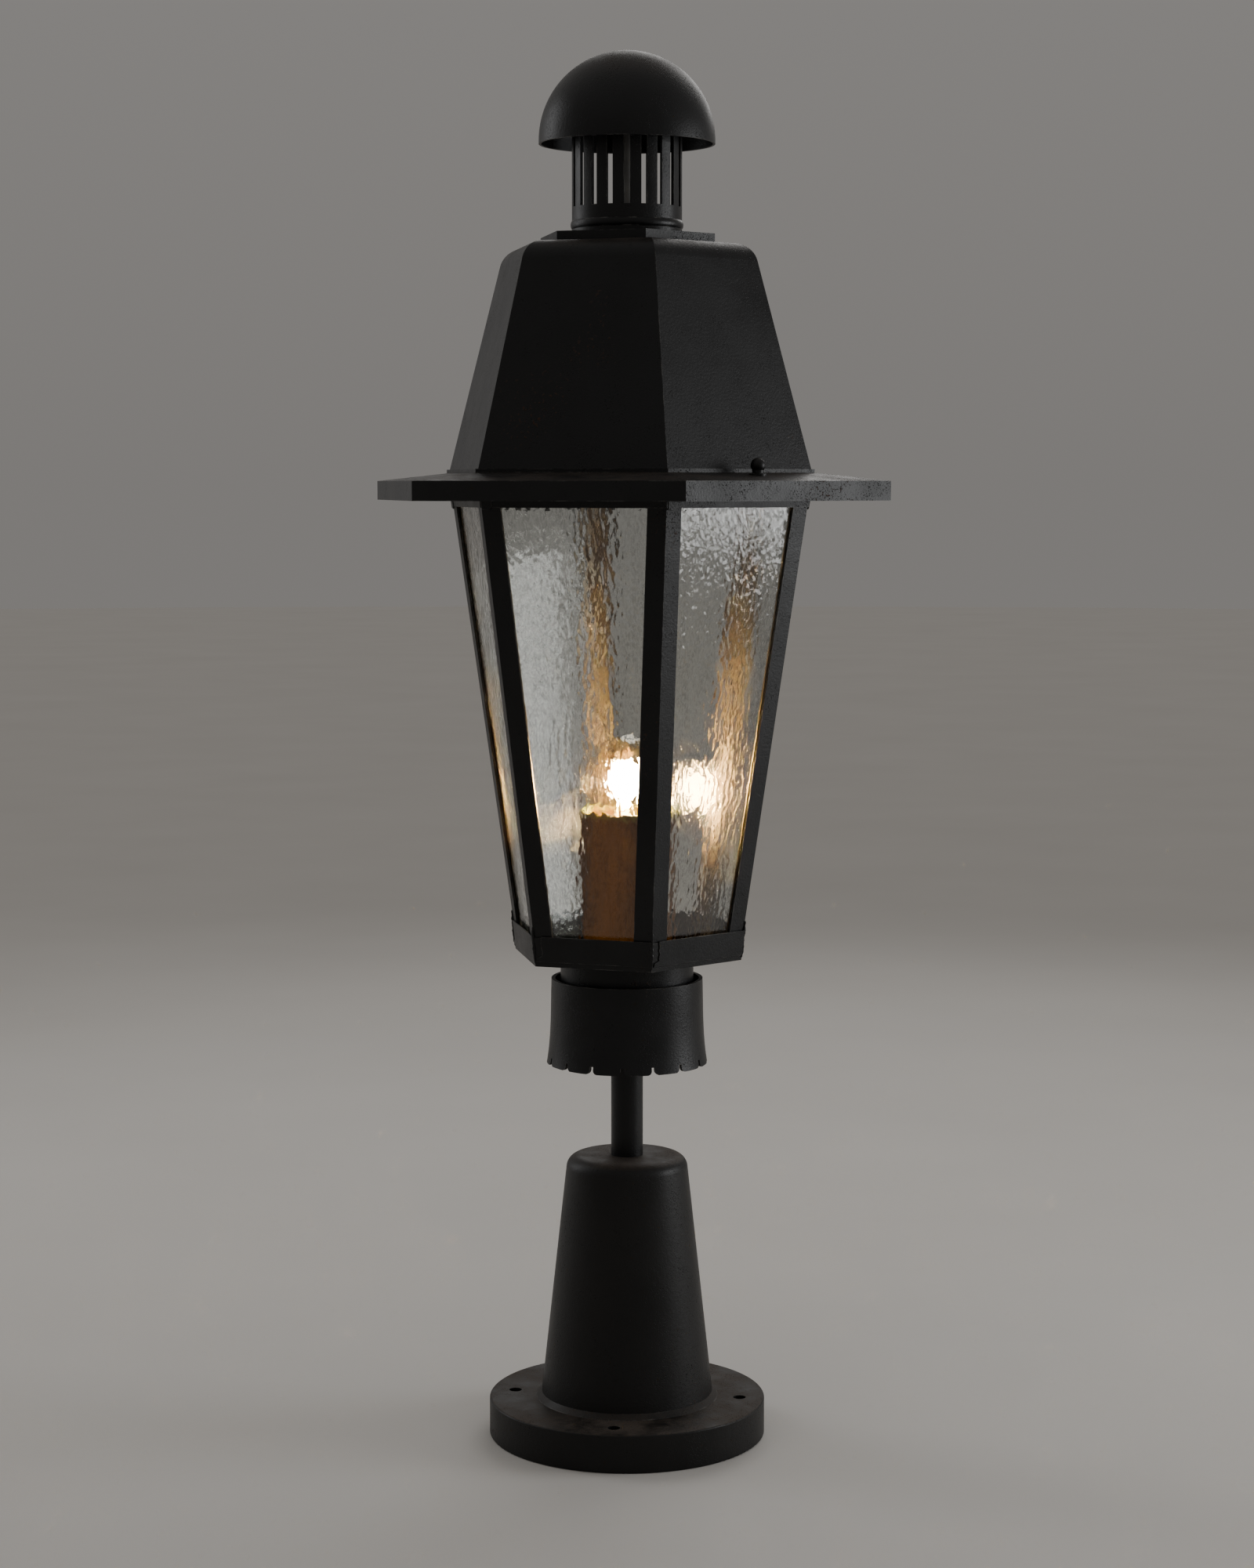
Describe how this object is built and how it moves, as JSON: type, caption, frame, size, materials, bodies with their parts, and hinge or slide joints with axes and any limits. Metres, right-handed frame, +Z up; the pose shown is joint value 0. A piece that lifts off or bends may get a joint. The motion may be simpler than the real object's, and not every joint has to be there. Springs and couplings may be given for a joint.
{
  "type": "hexagonal post lantern on a pedestal foot",
  "caption": "Black sheet-metal hexagonal lantern with tapered textured panes, hinged hood, vented dome cap and a pipe stem on a cone foot.",
  "frame": {"origin": "on the floor, at the middle of the foot's underside", "axes": "+Z up along the lantern's axis; a corner of every hexagon lies on +X, the knob is on the -Y flat and the hinge on the +Y flat"},
  "size_m": [0.3548, 0.3072, 0.9152],
  "materials": {
    "black_paint": "satin black paint on steel sheet, pitted",
    "black_casting": "satin black paint on cast iron, slightly grainy",
    "zinc_steel": "dull zinc plate",
    "pane_glass": "hammered clear glass",
    "porcelain": "glazed porcelain",
    "brass": "plain brass",
    "amber_sleeve": "amber brown composition tube",
    "bulb_glass": "clear bulb glass",
    "bulb_capsule": "frosted inner lamp capsule, lit",
    "aged_brass": "dull aged brass, unpainted"
  },
  "bodies": {
    "lantern_body": {"base_cone": "black_casting", "base_flange": "black_casting", "bottom_band": "black_paint", "bottom_pan": "black_paint", "collar": "black_paint", "collar_spacer": "black_paint", "corner_post_1": "black_paint", "corner_post_2": "black_paint", "corner_post_3": "black_paint", "corner_post_4": "black_paint", "corner_post_5": "black_paint", "corner_post_6": "black_paint", "glass_pane_1": "pane_glass", "glass_pane_2": "pane_glass", "glass_pane_3": "pane_glass", "glass_pane_4": "pane_glass", "glass_pane_5": "pane_glass", "glass_pane_6": "pane_glass", "glazing_stop_1": "aged_brass", "glazing_stop_2": "aged_brass", "glazing_stop_3": "aged_brass", "glazing_stop_4": "aged_brass", "glazing_stop_5": "aged_brass", "glazing_stop_6": "aged_brass", "hinge_leaf_frame": "black_paint", "hinge_pin": "zinc_steel", "knob_lug": "black_paint", "lampholder_base": "zinc_steel", "lampholder_body": "porcelain", "lampholder_shell": "brass", "neck_plate": "zinc_steel", "neck_tube": "black_paint", "sleeve": "amber_sleeve", "stem_locknuts": "zinc_steel", "stem_pipe": "black_paint", "top_band": "black_paint", "top_ring": "black_paint"},
    "roof": {"eave": "black_paint", "hood_shell": "black_paint", "hood_rim": "black_paint", "top_plate": "black_paint", "chimney_tube": "black_paint", "chimney_bead": "black_paint", "dome_cap": "black_paint", "dome_boss": "zinc_steel", "tie_rod": "zinc_steel", "tie_bar": "zinc_steel", "tie_rod_nut": "zinc_steel", "hinge_leaf_roof": "black_paint", "knob_washer": "black_paint"},
    "roof_knob": {"knob": "black_paint"},
    "bulb": {"bulb_glass": "bulb_glass", "bulb_cap": "brass", "bulb_mount": "bulb_glass", "bulb_capsule": "bulb_capsule"}
  },
  "joints": [
    {"name": "roof_hinge", "type": "hinge", "parent": "lantern_body", "child": "roof", "pos_m": [0, 0.1124, 0.631], "axis": [-1, 0, 0], "range_deg": [0, 90]},
    {"name": "knob_turn", "type": "hinge", "parent": "roof", "child": "roof_knob", "pos_m": [0, -0.1235, 0.648], "axis": [0, 0, 1], "continuous": true},
    {"name": "bulb_lift", "type": "slide", "parent": "lantern_body", "child": "bulb", "axis": [0, 0, 1], "range_m": [0, 0.07]}
  ]
}
